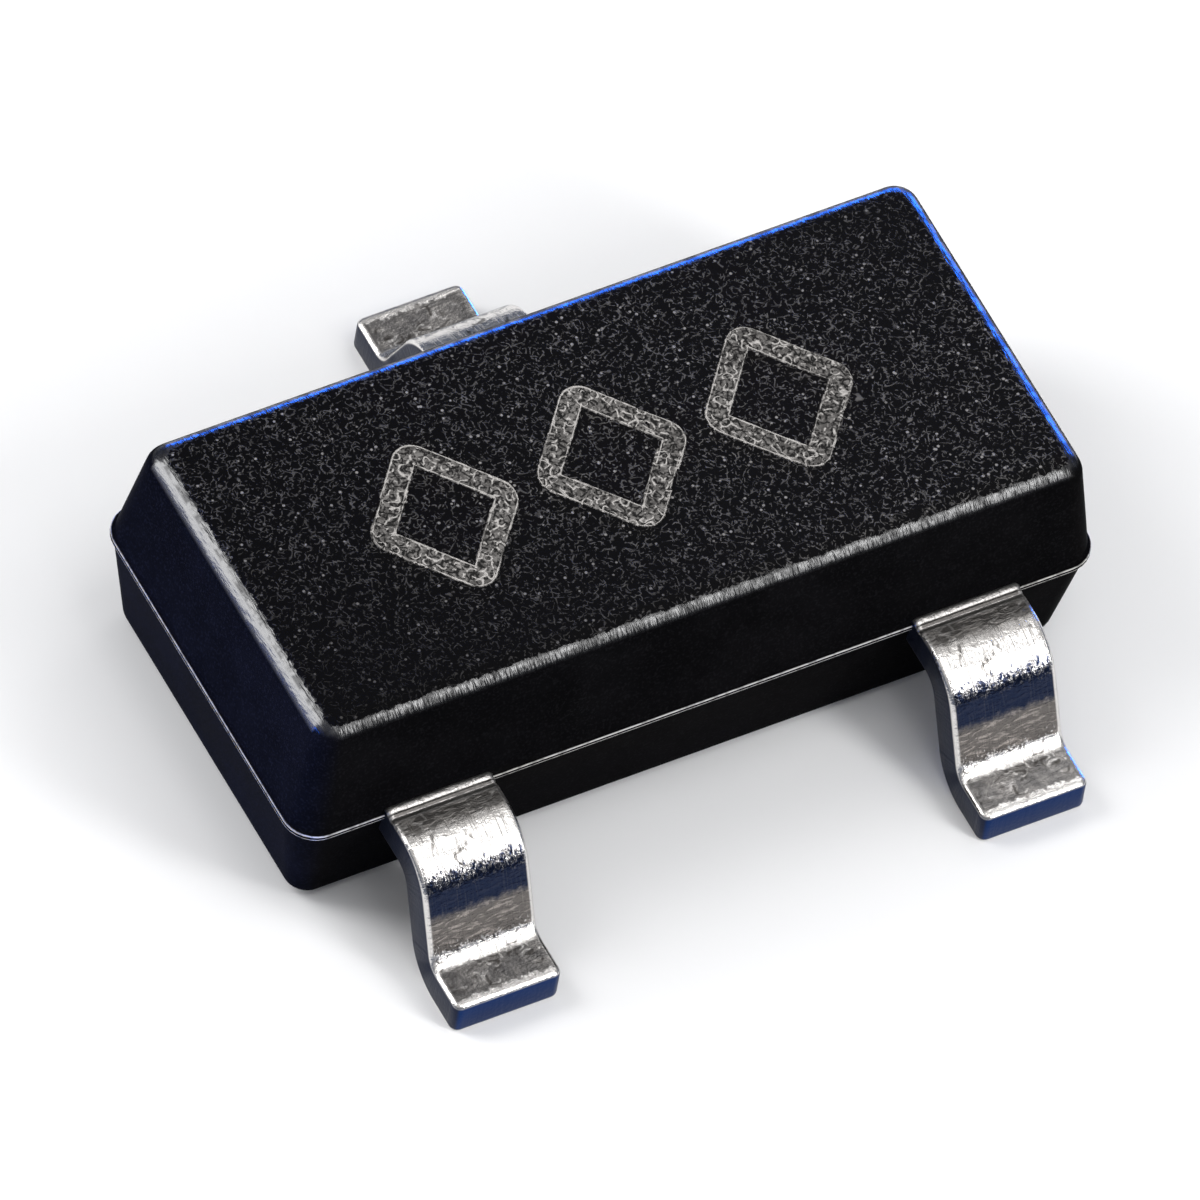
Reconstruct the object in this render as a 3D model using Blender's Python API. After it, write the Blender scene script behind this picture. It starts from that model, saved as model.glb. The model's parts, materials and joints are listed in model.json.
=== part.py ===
"""A surface-mount transistor in the three-lead SOT-23 outline, as it is built.

A stamped lead frame, cut and bent into three gull-wing leads, carries the silicon die on the paddle of the
collector lead. Two gold wires join the die to the posts of the base and emitter leads, and a black moulding
closes round all of it. The moulding's cavity follows each piece that it holds, so every piece keeps its own
space with the same clearance.

Origin: the middle of the footprint, on the plane the feet stand on. +X runs along the body, +Z is up, the base
and emitter leads leave on the -Y side and the collector lead on the +Y side.

All lengths are in millimetres and angles in degrees; each finished mesh is written in metres.
"""

import math

import bmesh
import bpy
from mathutils import Matrix, Vector

MM = 0.001

# Moulding
BODY_LENGTH = 2.90
BODY_WIDTH = 1.40
HEIGHT_ABOVE_PARTING = 0.455
HEIGHT_BELOW_PARTING = 0.425
STANDOFF = 0.02
UPPER_DRAFT = 8.0
LOWER_DRAFT = 9.0
PLAN_CORNER_RADIUS = 0.11
TOP_EDGE_RADIUS = 0.08
BOTTOM_EDGE_RADIUS = 0.05
LEDGE_WIDTH = 0.010
LEDGE_HEIGHT = 0.022
CORNER_STEPS = 6
TOP_EDGE_STEPS = 5
BOTTOM_EDGE_STEPS = 3

# Lead frame
LEAD_PITCH = 1.90
LEAD_WIDTH = 0.385
LEAD_THICKNESS = 0.13
LEAD_TOP_ABOVE_PARTING = 0.03
SHOULDER_LENGTH = 0.105
UPPER_BEND_RADIUS = 0.14
LOWER_BEND_RADIUS = 0.13
LEG_ANGLE = 66.0
FOOT_LENGTH = 0.14
LEAD_EDGE_RADIUS = 0.018
LEAD_CORNER_RADIUS = 0.03
BEND_STEPS = 7
GROOVE_FROM_WALL = 0.028
GROOVE_WIDTH = 0.014
GROOVE_DEPTH = 0.005
GROOVE_FLANK = 0.006

# Inner ends of the leads
LOCK_DEPTH = 0.10
POST_TOWARDS_DIE = 0.33
POST_TOWARDS_END = 0.28
POST_FROM_MIDDLE = 0.10
PADDLE_WIDTH = 0.92
PADDLE_PAST_MIDDLE = 0.42
PADDLE_TAPER = 0.12
INNER_CORNER_RADIUS = 0.04

# Die and its attachment
DIE_SIZE = 0.38
DIE_THICKNESS = 0.15
DIE_BEHIND_MIDDLE = -0.06
ATTACH_THICKNESS = 0.02
ATTACH_MARGIN = 0.035
ATTACH_SLOPE = 0.012
ATTACH_CORNER_RADIUS = 0.04
PAD_SIZE = 0.11
PAD_HEIGHT = 0.003
PAD_FROM_DIE_CENTRE = 0.09

# Bond wires
WIRE_DIAMETER = 0.025
BALL_DIAMETER = 0.075
BALL_HEIGHT = 0.022
LOOP_HEIGHT = 0.11
STITCH_LENGTH = 0.05
STITCH_THICKNESS = 0.008
STITCH_WIDTH = 0.045
STITCH_FROM_LEAD_CENTRE = 0.10
STITCH_FROM_POST_TIP = 0.15
WIRE_SIDES = 8
WIRE_STEPS = 20

# Gap between any two pieces that touch in the real object
CLEARANCE = 0.004

PARTING_Z = STANDOFF + HEIGHT_BELOW_PARTING
LEAD_TOP_Z = PARTING_Z + LEAD_TOP_ABOVE_PARTING
LEAD_BOTTOM_Z = LEAD_TOP_Z - LEAD_THICKNESS
WALL_FROM_MIDDLE = BODY_WIDTH / 2
ATTACH_Z = LEAD_TOP_Z + CLEARANCE
DIE_Z = ATTACH_Z + ATTACH_THICKNESS + CLEARANCE
PAD_TOP_Z = DIE_Z + DIE_THICKNESS + PAD_HEIGHT


def clear_scene():
    for obj in list(bpy.data.objects):
        bpy.data.objects.remove(obj, do_unlink=True)


def make_material(name, colour, roughness, metallic):
    material = bpy.data.materials.new(name)
    material.use_nodes = True
    shader = material.node_tree.nodes["Principled BSDF"]
    shader.inputs["Base Color"].default_value = (*colour, 1.0)
    shader.inputs["Roughness"].default_value = roughness
    shader.inputs["Metallic"].default_value = metallic
    return material


def add_object(name, bm, material, location=(0.0, 0.0, 0.0), turn=0.0):
    """Writes a bmesh drawn in millimetres as an object in metres, turned about Z."""
    bm.normal_update()
    bmesh.ops.recalc_face_normals(bm, faces=bm.faces)
    mesh = bpy.data.meshes.new(name)
    bm.to_mesh(mesh)
    bm.free()
    mesh.transform(Matrix.Scale(MM, 4))
    mesh.shade_smooth()
    mesh.set_sharp_from_angle(angle=math.radians(30.0))
    obj = bpy.data.objects.new(name, mesh)
    obj.location = Vector(location) * MM
    obj.rotation_euler.z = math.radians(turn)
    bpy.context.collection.objects.link(obj)
    if material:
        mesh.materials.append(material)
    return obj


def join_by_boolean(target, other, operation):
    """Applies another object to the target with a live Boolean, and keeps that object as a hidden guide."""
    other.hide_render = True
    other.display_type = "WIRE"
    modifier = target.modifiers.new(other.name, "BOOLEAN")
    modifier.operation = operation
    modifier.object = other


def loft(rings):
    """A closed bmesh through rings with the same number of points, capped at both ends."""
    bm = bmesh.new()
    loops = [[bm.verts.new(point) for point in ring] for ring in rings]
    for lower, upper in zip(loops, loops[1:]):
        for i, start in enumerate(lower):
            after = (i + 1) % len(lower)
            bm.faces.new((start, lower[after], upper[after], upper[i]))
    bm.faces.new(loops[0][::-1])
    bm.faces.new(loops[-1])
    return bm


def rounded_rectangle(length, width, radius, z):
    """One horizontal ring: a rectangle about the origin whose corners are arcs."""
    ring = []
    for quarter, (sx, sy) in enumerate(((1, 1), (-1, 1), (-1, -1), (1, -1))):
        centre_x = sx * (length / 2 - radius)
        centre_y = sy * (width / 2 - radius)
        for step in range(CORNER_STEPS + 1):
            angle = math.radians(90.0 * (quarter + step / CORNER_STEPS))
            x = centre_x + radius * math.cos(angle)
            y = centre_y + radius * math.sin(angle)
            ring.append((x, y, z))
    return ring


def half_profile(height, draft, edge_radius, steps):
    """The moulding's section from the parting ledge to one flat face, as (rise, inset) pairs."""
    draft = math.radians(draft)
    ledge = LEDGE_HEIGHT / 2
    arc_start = height - edge_radius + edge_radius * math.sin(draft)
    inset_there = LEDGE_WIDTH + (arc_start - ledge) * math.tan(draft)
    arc_centre = inset_there + edge_radius * math.cos(draft)
    profile = [(ledge, 0.0), (ledge, LEDGE_WIDTH)]
    for step in range(steps + 1):
        angle = draft + (math.pi / 2 - draft) * step / steps
        rise = height - edge_radius + edge_radius * math.sin(angle)
        profile.append((rise, arc_centre - edge_radius * math.cos(angle)))
    return profile


def make_moulding(material):
    """Two drafted halves with rounded edges, meeting in a thin ledge at the parting plane."""
    upper = half_profile(HEIGHT_ABOVE_PARTING, UPPER_DRAFT, TOP_EDGE_RADIUS, TOP_EDGE_STEPS)
    lower = half_profile(HEIGHT_BELOW_PARTING, LOWER_DRAFT, BOTTOM_EDGE_RADIUS, BOTTOM_EDGE_STEPS)
    section = [(-rise, inset) for rise, inset in reversed(lower)] + upper
    rings = []
    for rise, inset in section:
        radius = max(PLAN_CORNER_RADIUS - inset / 2, PLAN_CORNER_RADIUS / 4)
        length = BODY_LENGTH - 2 * inset
        width = BODY_WIDTH - 2 * inset
        rings.append(rounded_rectangle(length, width, radius, PARTING_Z + rise))
    return add_object("moulded_body", loft(rings), material)


def lead_form():
    """The bends of a lead as (length, turn) runs, from the package's middle out to the tip of the foot."""
    turn = math.radians(LEG_ANGLE)
    radii = UPPER_BEND_RADIUS + LOWER_BEND_RADIUS
    leg = (LEAD_BOTTOM_Z - radii * (1 - math.cos(turn))) / math.sin(turn)
    return (
        (WALL_FROM_MIDDLE + SHOULDER_LENGTH, 0.0),
        (UPPER_BEND_RADIUS * turn, turn),
        (leg, 0.0),
        (LOWER_BEND_RADIUS * turn, -turn),
        (FOOT_LENGTH, 0.0),
    )


def formed(along, above):
    """Where a point of the flat blank lies once the lead is bent.

    along is its distance out from the package's middle, above its height over the blank's mid-plane. Returns
    the distance out and the height.
    """
    out = 0.0
    up = LEAD_BOTTOM_Z + LEAD_THICKNESS / 2
    heading = 0.0
    left = along
    for length, turn in lead_form():
        run = min(left, length)
        if turn:
            bend = turn / length
            after = heading + bend * run
            out += (math.sin(after) - math.sin(heading)) / bend
            up += (math.cos(after) - math.cos(heading)) / bend
            heading = after
        else:
            out += run * math.cos(heading)
            up -= run * math.sin(heading)
        left -= run
        if left <= 0:
            break
    return out + above * math.sin(heading), up + above * math.cos(heading)


def lead_length():
    return sum(length for length, _ in lead_form())


def bend_lines():
    """Where the blank is sliced across, so that it can bend: at each step of both bends."""
    lines = []
    start = 0.0
    for length, turn in lead_form():
        if turn:
            lines += [start + length * step / BEND_STEPS for step in range(BEND_STEPS + 1)]
        start += length
    return lines


def groove_lines():
    """The four edges of the shallow groove coined across the shoulder beside the wall."""
    start = WALL_FROM_MIDDLE + GROOVE_FROM_WALL
    end = start + GROOVE_WIDTH
    return [start - GROOVE_FLANK, start, end, end + GROOVE_FLANK]


def offset_outline(points, distance):
    """The closed outline moved outwards; its points run anticlockwise."""
    moved = []
    for i, point in enumerate(points):
        before = (point - points[i - 1]).normalized()
        after = (points[(i + 1) % len(points)] - point).normalized()
        normal_before = Vector((before.y, -before.x))
        normal_after = Vector((after.y, -after.x))
        bisector = normal_before + normal_after
        moved.append(point + bisector * (distance / (1 + normal_before.dot(normal_after))))
    return moved


def blank(outline, tip_radius, grow):
    """The stamped flat strip: its outline with rounded corners, its thickness and its rounded edges."""
    bm = bmesh.new()
    points = offset_outline([Vector(point) for point in outline], grow)
    bottom = -LEAD_THICKNESS / 2 - grow
    bm.faces.new([bm.verts.new((point.x, point.y, bottom)) for point in points])
    tip_along = max(point.y for point in points)
    tip = [vert for vert in bm.verts if vert.co.y > tip_along - CLEARANCE]
    inner = [vert for vert in bm.verts if vert not in tip]
    for verts, radius in ((tip, tip_radius), (inner, INNER_CORNER_RADIUS)):
        bmesh.ops.bevel(
            bm, geom=verts, offset=radius, segments=3, profile=0.5, affect="VERTICES", clamp_overlap=True
        )
    extruded = bmesh.ops.extrude_face_region(bm, geom=bm.faces[:], use_keep_orig=True)["geom"]
    top = [item for item in extruded if isinstance(item, bmesh.types.BMVert)]
    bmesh.ops.translate(bm, verts=top, vec=(0.0, 0.0, LEAD_THICKNESS + 2 * grow))
    bmesh.ops.recalc_face_normals(bm, faces=bm.faces)
    rims = [edge for edge in bm.edges if abs(edge.verts[0].co.z - edge.verts[1].co.z) < CLEARANCE]
    bmesh.ops.bevel(bm, geom=rims, offset=LEAD_EDGE_RADIUS, segments=2, profile=0.5, affect="EDGES")
    return bm


def slice_across(bm, lines):
    for line in lines:
        everything = bm.verts[:] + bm.edges[:] + bm.faces[:]
        bmesh.ops.bisect_plane(bm, geom=everything, dist=1e-5, plane_co=(0, line, 0), plane_no=(0, 1, 0))


def coin_groove(bm):
    """Presses the groove into the upper face of the shoulder."""
    start, end = groove_lines()[1:3]
    share = 1 - 2 * GROOVE_DEPTH / LEAD_THICKNESS
    for vert in bm.verts:
        if vert.co.z > 0 and start - 1e-4 < vert.co.y < end + 1e-4:
            vert.co.z *= share


def bend(bm):
    """Bends the flat blank, drawn with +Y outwards, into the gull-wing form on the -Y side."""
    for vert in bm.verts:
        out, up = formed(vert.co.y, vert.co.z)
        vert.co = (-vert.co.x, -out, up)


def lead_object(name, outline, material, x, turn):
    bm = blank(outline(lead_length()), LEAD_CORNER_RADIUS, 0.0)
    slice_across(bm, groove_lines() + bend_lines())
    coin_groove(bm)
    bend(bm)
    return add_object(name, bm, material, (x, 0.0, 0.0), turn)


def lead_space(name, outline, x, turn):
    """The room a lead takes in the moulding: its flat part with the clearance, run out past the wall."""
    past_wall = WALL_FROM_MIDDLE + SHOULDER_LENGTH / 2
    bm = blank(outline(past_wall), LEAD_CORNER_RADIUS, CLEARANCE)
    bend(bm)
    return add_object(name, bm, None, (x, 0.0, 0.0), turn)


def post_outline(towards_die):
    """The flat outline of an outer lead; towards_die is the side of its centre line that the die is on."""

    def outline(tip):
        half = LEAD_WIDTH / 2
        lock = WALL_FROM_MIDDLE - LOCK_DEPTH
        wide = max(POST_TOWARDS_DIE, half + LEAD_CORNER_RADIUS)
        narrow = max(POST_TOWARDS_END, half + LEAD_CORNER_RADIUS)
        right, left = (wide, narrow) if towards_die > 0 else (narrow, wide)
        return [
            (-left, POST_FROM_MIDDLE),
            (right, POST_FROM_MIDDLE),
            (right, lock),
            (half, lock),
            (half, tip),
            (-half, tip),
            (-half, lock),
            (-left, lock),
        ]

    return outline


def paddle_outline(tip):
    """The flat outline of the collector lead: the strip, its taper and the paddle under the die."""
    half = LEAD_WIDTH / 2
    paddle = PADDLE_WIDTH / 2
    neck = WALL_FROM_MIDDLE - LOCK_DEPTH
    shoulder = neck - PADDLE_TAPER
    return [
        (-paddle, -PADDLE_PAST_MIDDLE),
        (paddle, -PADDLE_PAST_MIDDLE),
        (paddle, shoulder),
        (half, neck),
        (half, tip),
        (-half, tip),
        (-half, neck),
        (-paddle, shoulder),
    ]


LEADS = (
    ("base_lead", post_outline(-1), -LEAD_PITCH / 2, 0.0),
    ("emitter_lead", post_outline(1), LEAD_PITCH / 2, 0.0),
    ("collector_lead", paddle_outline, 0.0, 180.0),
)


def block(size_x, size_y, z_low, z_high):
    """A plain box about the Z axis."""
    ring = [(-size_x / 2, -size_y / 2), (size_x / 2, -size_y / 2), (size_x / 2, size_y / 2), (-size_x / 2, size_y / 2)]
    return loft([[(x, y, z) for x, y in ring] for z in (z_low, z_high)])


def die_block(name, grow, material):
    """The chip's block of silicon, square in plan."""
    size = DIE_SIZE + 2 * grow
    bm = block(size, size, DIE_Z - grow, PAD_TOP_Z - PAD_HEIGHT + grow)
    return add_object(name, bm, material, (0.0, DIE_BEHIND_MIDDLE, 0.0))


def pad_place(side):
    """The centre of a bond pad on the die: the base pad on side -1, the emitter pad on side 1."""
    return Vector((side * PAD_FROM_DIE_CENTRE, DIE_BEHIND_MIDDLE - PAD_FROM_DIE_CENTRE, PAD_TOP_Z))


def make_die(material):
    die = die_block("silicon_die", 0.0, material)
    for name, side in (("base_pad", -1), ("emitter_pad", 1)):
        place = pad_place(side)
        sunk = PAD_TOP_Z - DIE_THICKNESS / 4
        pad = add_object(name, block(PAD_SIZE, PAD_SIZE, sunk, PAD_TOP_Z), material, (place.x, place.y, 0.0))
        join_by_boolean(die, pad, "UNION")
    return die


def attach_layer(name, grow, material):
    """The adhesive under the die, spread a little past it on a slope."""
    wide = DIE_SIZE + 2 * (ATTACH_MARGIN + grow)
    narrow = wide - 2 * ATTACH_SLOPE
    low = rounded_rectangle(wide, wide, ATTACH_CORNER_RADIUS, ATTACH_Z - grow)
    high = rounded_rectangle(narrow, narrow, ATTACH_CORNER_RADIUS, ATTACH_Z + ATTACH_THICKNESS + grow)
    return add_object(name, loft([low, high]), material, (0.0, DIE_BEHIND_MIDDLE, 0.0))


def stitch_place(side):
    """Where a wire lands on its post, at the height of the lead's upper face."""
    x = side * (LEAD_PITCH / 2 - STITCH_FROM_LEAD_CENTRE)
    return Vector((x, -(POST_FROM_MIDDLE + STITCH_FROM_POST_TIP), LEAD_TOP_Z))


def wire_stations(side, grow):
    """The wire from ball to stitch, as (centre, direction, half width, half thickness) sections."""
    radius = WIRE_DIAMETER / 2
    ball = BALL_DIAMETER / 2
    up = Vector((0.0, 0.0, 1.0))
    start = pad_place(side) + up * CLEARANCE
    landing = stitch_place(side) + up * (CLEARANCE + radius)
    away = landing - start
    away.z = 0.0
    span = away.length
    away.normalize()
    stations = []
    for rise, share in ((0.0, 0.8), (0.2, 1.0), (0.7, 1.0), (1.0, 0.75)):
        height = rise * BALL_HEIGHT + (grow if rise > 0.5 else -grow)
        stations.append((start + up * height, up, ball * share + grow, ball * share + grow))
    neck = start + up * (BALL_HEIGHT * 1.5)
    rise_handle = neck + up * LOOP_HEIGHT * 4 / 3
    fall_handle = landing - away * span * 0.35 + up * LOOP_HEIGHT * 0.6
    for step in range(WIRE_STEPS + 1):
        t = step / WIRE_STEPS
        u = 1 - t
        point = u**3 * neck + 3 * u * u * t * rise_handle + 3 * u * t * t * fall_handle + t**3 * landing
        slope = u * u * (rise_handle - neck) + 2 * u * t * (fall_handle - rise_handle) + t * t * (landing - fall_handle)
        stations.append((point, slope.normalized(), radius + grow, radius + grow))
    lift = STITCH_THICKNESS / 2 - radius
    for share in (0.5, 1.0):
        length = STITCH_LENGTH * share + (grow if share == 1.0 else 0.0)
        point = landing + away * length + up * lift
        stations.append((point, away.copy(), STITCH_WIDTH / 2 + grow, STITCH_THICKNESS / 2 + grow))
    return stations


def wire_object(name, side, grow, material):
    """A bond wire swept through its stations; all of it lies in one upright plane."""
    stations = wire_stations(side, grow)
    across = stations[-1][1].cross(Vector((0.0, 0.0, 1.0))).normalized()
    rings = []
    for centre, direction, half_width, half_thickness in stations:
        through = across.cross(direction).normalized()
        ring = []
        for i in range(WIRE_SIDES):
            angle = 2 * math.pi * (i + 0.5) / WIRE_SIDES
            ring.append(centre + across * half_width * math.cos(angle) + through * half_thickness * math.sin(angle))
        rings.append(ring)
    return add_object(name, loft(rings), material)


def main():
    clear_scene()
    epoxy = make_material("black_epoxy", (0.012, 0.012, 0.013), 0.42, 0.0)
    tin = make_material("tin_plated_alloy", (0.74, 0.73, 0.70), 0.22, 1.0)
    silicon = make_material("silicon", (0.16, 0.17, 0.22), 0.25, 0.4)
    adhesive = make_material("silver_adhesive", (0.52, 0.52, 0.50), 0.55, 0.6)
    gold = make_material("gold", (0.86, 0.62, 0.24), 0.2, 1.0)

    body = make_moulding(epoxy)
    for name, outline, x, turn in LEADS:
        lead_object(name, outline, tin, x, turn)
        join_by_boolean(body, lead_space(name + "_space", outline, x, turn), "DIFFERENCE")
    attach_layer("die_attach", 0.0, adhesive)
    join_by_boolean(body, attach_layer("attach_space", CLEARANCE, None), "DIFFERENCE")
    make_die(silicon)
    join_by_boolean(body, die_block("die_space", CLEARANCE + PAD_HEIGHT, None), "DIFFERENCE")
    for name, side in (("base_bond_wire", -1), ("emitter_bond_wire", 1)):
        wire_object(name, side, 0.0, gold)
        join_by_boolean(body, wire_object(name + "_space", side, CLEARANCE, None), "DIFFERENCE")


main()
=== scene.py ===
"""Looks of a three-lead surface-mount transistor: its moulding, plated leads, laser mark and inner pieces.

Everything is drawn in millimetres about the frame's own origin and written in metres, so that Blender's
merge and bevel distances suit it.
"""

import json
import math
import random

import bmesh
import bpy
from mathutils import Matrix, Vector


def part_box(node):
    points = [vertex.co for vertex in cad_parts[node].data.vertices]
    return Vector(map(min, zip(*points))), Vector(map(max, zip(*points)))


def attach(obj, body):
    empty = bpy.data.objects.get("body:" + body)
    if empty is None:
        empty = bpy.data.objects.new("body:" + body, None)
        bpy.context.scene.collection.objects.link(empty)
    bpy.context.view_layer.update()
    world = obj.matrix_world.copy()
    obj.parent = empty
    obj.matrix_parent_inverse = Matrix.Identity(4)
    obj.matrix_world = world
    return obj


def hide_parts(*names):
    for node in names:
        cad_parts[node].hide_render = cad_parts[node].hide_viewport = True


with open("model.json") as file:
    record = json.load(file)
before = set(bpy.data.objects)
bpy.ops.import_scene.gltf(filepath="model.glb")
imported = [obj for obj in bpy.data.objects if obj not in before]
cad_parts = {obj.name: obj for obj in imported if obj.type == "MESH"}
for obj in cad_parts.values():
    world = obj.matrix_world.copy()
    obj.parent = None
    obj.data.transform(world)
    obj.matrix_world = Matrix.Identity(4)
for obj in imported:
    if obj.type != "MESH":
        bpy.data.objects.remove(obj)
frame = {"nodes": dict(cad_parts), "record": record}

bl_info = {
    "name": "Surface-mount transistor",
    "version": (1, 0, 0),
    "blender": (4, 5, 0),
    "location": "View3D > Sidebar > Transistor",
    "description": "Builds the moulding, plated leads, laser mark and studio of a small transistor",
    "category": "Object",
}

MM = 0.001
BODY = "root"
CORNER_POINTS = 8
PASS_POINTS = 24
DISH_POINTS = 10
WHITE = (1.0, 1.0, 1.0)
BLUE = (0.01, 0.15, 1.0)
NOT_ASIDE = (0.0, 0.0, 0.0)
BOND_WIRES = ("base_bond_wire", "emitter_bond_wire")
MOULDING_LOW, MOULDING_HIGH = (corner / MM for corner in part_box("moulded_body"))
LEAD_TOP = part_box("collector_lead")[1].z / MM

# Each lamp: (azimuth, elevation, distance), width, height, radiance, and how far aside of the part it aims
SOFTBOXES = {
    "overhead_softbox": ((30.0, 74.0, 24.0), 15.0, 11.0, 2.4),
    "left_strip": ((-126.0, 34.0, 22.0), 9.0, 22.0, 5.6),
    "right_fill": ((32.0, 33.0, 22.0), 5.0, 15.0, 10.0),
    "back_right_softbox": ((143.0, 53.0, 11.0), 3.4, 4.0, 1.6, (1.6, -0.4, 0.0)),
}
RIM_LAMPS = {
    "left_rim": ((-88.0, 3.0, 14.0), 6.0, 2.2, 80.0),
    "right_rim": ((119.0, 4.0, 14.0), 5.0, 2.0, 38.0),
    "back_rim": ((152.0, 4.5, 14.0), 8.0, 1.7, 36.0),
}

# The world's light: heights over the horizon, 1 straight up, and the colour at each
SKY = (
    (0.0, (0.10, 0.13, 0.20)),
    (1.0, (0.55, 0.55, 0.55)),
    (0.22, (0.10, 0.12, 0.17)),
    (0.45, (0.30, 0.31, 0.33)),
    (0.75, (0.50, 0.50, 0.51)),
)


# Sizes and colours that a user would change


def named(group):
    """Names each setting of a group after its key."""
    for key, setting in group.__annotations__.items():
        setting.keywords["name"] = key.replace("_", " ").capitalize()
    return group


def mm(default, description):
    return bpy.props.FloatProperty(default=default, description=description + ", in millimetres")


def degrees(default, description):
    return bpy.props.FloatProperty(default=math.radians(default), description=description, unit="ROTATION")


def colour(default, thing):
    looks = {"min": 0.0, "max": 1.0, "size": 3, "subtype": "COLOR"}
    return bpy.props.FloatVectorProperty(default=default, description="Colour of the " + thing, **looks)


@named
class MouldingSettings(bpy.types.PropertyGroup):
    upper_draft: degrees(8.0, "Slope of the walls above the parting line")
    lower_draft: degrees(9.0, "Slope of the walls below the parting line")
    corner_radius: mm(0.11, "Radius of the upright corners at the parting line")
    top_edge_radius: mm(0.08, "Radius of the edge round the top")
    bottom_edge_radius: mm(0.05, "Radius of the edge round the bottom")
    ledge_width: mm(0.010, "How far the parting ledge stands out")
    ledge_height: mm(0.022, "Thickness of the parting ledge")
    cell: mm(0.0105, "Size of the mesh's cells on the top")
    top_grain: mm(0.034, "Width of the worn grain on the top")
    top_depth: mm(0.0022, "Depth of the worn grain on the top")
    wall_depth: mm(0.0006, "Depth of the unevenness of the walls")
    black: colour((0.0060, 0.0058, 0.0062), "epoxy")
    # This colour serves both the pale silica grains and the top's pale curls, which are painted glints.
    filler: colour((0.36, 0.345, 0.33), "silica grains at the surface")
    # The parting line's pale colour is partly resin bleed at the ledge and partly a painted highlight along
    # the ledge's edges.
    flash: colour((0.66, 0.64, 0.61), "rubbed line where the mould parts")
    # Painted light: on the left end the line's colour is warmed to cancel the blue rim lamp there.
    stained_flash: colour((0.48, 0.39, 0.22), "rubbed line on the left end")


@named
class LeadSettings(bpy.types.PropertyGroup):
    width: mm(0.385, "Width of a lead")
    thickness: mm(0.13, "Thickness of the lead frame")
    above_parting: mm(0.03, "Height of the upper face over the parting line")
    shoulder: mm(0.105, "Flat length outside the wall")
    upper_bend_radius: mm(0.14, "Mid-plane radius of the upper bend")
    lower_bend_radius: mm(0.13, "Mid-plane radius of the lower bend")
    leg_angle: degrees(66.0, "Slope of the leg")
    foot: mm(0.14, "Flat length of the foot")
    edge_radius: mm(0.018, "Radius of the stamped edges")
    tip_radius: mm(0.03, "Radius of the foot's corners in plan")
    slice_length: mm(0.011, "Length of the mesh's cells")
    slice_width: mm(0.016, "Width of the mesh's cells")
    groove_from_wall: mm(0.028, "Distance of the coined groove from the wall")
    groove_width: mm(0.014, "Width of the coined groove")
    groove_depth: mm(0.005, "Depth of the coined groove")
    groove_flank: mm(0.006, "Length of each flank of the groove")
    bead_length: mm(0.012, "Length of the plating's bead at the wall")
    bead_height: mm(0.009, "Height of the plating's bead at the wall")
    wave_length: mm(0.055, "Width of the waves in the plating")
    wave_height: mm(0.0009, "Height of the waves in the plating")
    tin: colour((0.80, 0.775, 0.75), "bright tin")
    dulled: colour((0.55, 0.53, 0.51), "dull patches")
    # The shoulder's dark colour is painted shade, a dark reflection put into the tin.
    shoulder_dark: colour((0.15, 0.138, 0.128), "shoulder")
    shoulder_pale: colour((0.55, 0.52, 0.49), "shoulder's wrinkles")
    # Both foot colours are painted shade, a dark reflection put into the tin, in mottles.
    foot_dark: colour((0.085, 0.082, 0.082), "foot's darker mottles")
    foot_pale: colour((0.235, 0.222, 0.212), "foot's paler mottles")
    # Painted shade: the lower leg's colour is a dark reflection put into the tin, with streaks.
    rubbed: colour((0.075, 0.065, 0.058), "leg where the forming tool rubs it")
    streaked: colour((0.30, 0.265, 0.24), "rubbed leg's streaks")
    # The band's colour is a painted dark reflection on the leg.
    stained: colour((0.010, 0.018, 0.046), "dark band that the forming tool leaves")
    smeared: colour((0.36, 0.34, 0.32), "smears where the dark band starts")
    curled: colour((0.060, 0.055, 0.050), "dark curls on the bright bends")
    # Painted shade in the near flank of the coined groove.
    creased: colour((0.045, 0.040, 0.037), "crease before the coined groove")
    scratched: colour((0.30, 0.28, 0.26), "scratches")
    # The sides' colour is bare metal, darkened and tinted navy as painted shade.
    sheared: colour((0.013, 0.018, 0.040), "sheared sides")
    # The ends' blue is painted blue light.
    sawn: colour((0.003, 0.024, 0.110), "sawn ends")


@named
class InnerSettings(bpy.types.PropertyGroup):
    lock_depth: mm(0.10, "Depth of a lead's narrow part inside the wall")
    post_towards_die: mm(0.33, "Reach of a post towards the die")
    post_towards_end: mm(0.28, "Reach of a post towards the body's end")
    post_from_middle: mm(0.10, "Distance of a post from the body's middle")
    paddle_width: mm(0.92, "Width of the paddle under the die")
    paddle_past_middle: mm(0.42, "Reach of the paddle past the middle")
    paddle_taper: mm(0.12, "Length of the taper from paddle to lead")
    corner_radius: mm(0.04, "Radius of the inner corners in plan")


@named
class MarkSettings(bpy.types.PropertyGroup):
    width: mm(0.46, "Width of one mark between the middles of its strokes")
    height: mm(0.54, "Height of one mark between the middles of its strokes")
    corner: mm(0.03, "Radius of a mark's corners")
    pitch: mm(0.60, "Distance between neighbouring marks")
    from_middle: mm(-0.02, "Distance of the row's centre from the body's middle")
    stroke: mm(0.080, "Width of a burnt stroke")
    pass_step: mm(0.16, "Distance between the starts of two passes of the laser")
    wander: mm(0.003, "How far a pass strays to either side")
    rim_height: mm(0.0035, "Height of the swollen rim round a pass")
    cell: mm(0.008, "Length of the mesh's cells along a pass")
    marks: bpy.props.IntProperty(default=3, description="Number of marks in the row", min=1)
    pale: colour((0.58, 0.555, 0.53), "burnt epoxy's crests")
    dull: colour((0.026, 0.024, 0.0225), "burnt epoxy's ground")
    crevice: colour((0.006, 0.0058, 0.0055), "burnt epoxy's crevices")


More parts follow.
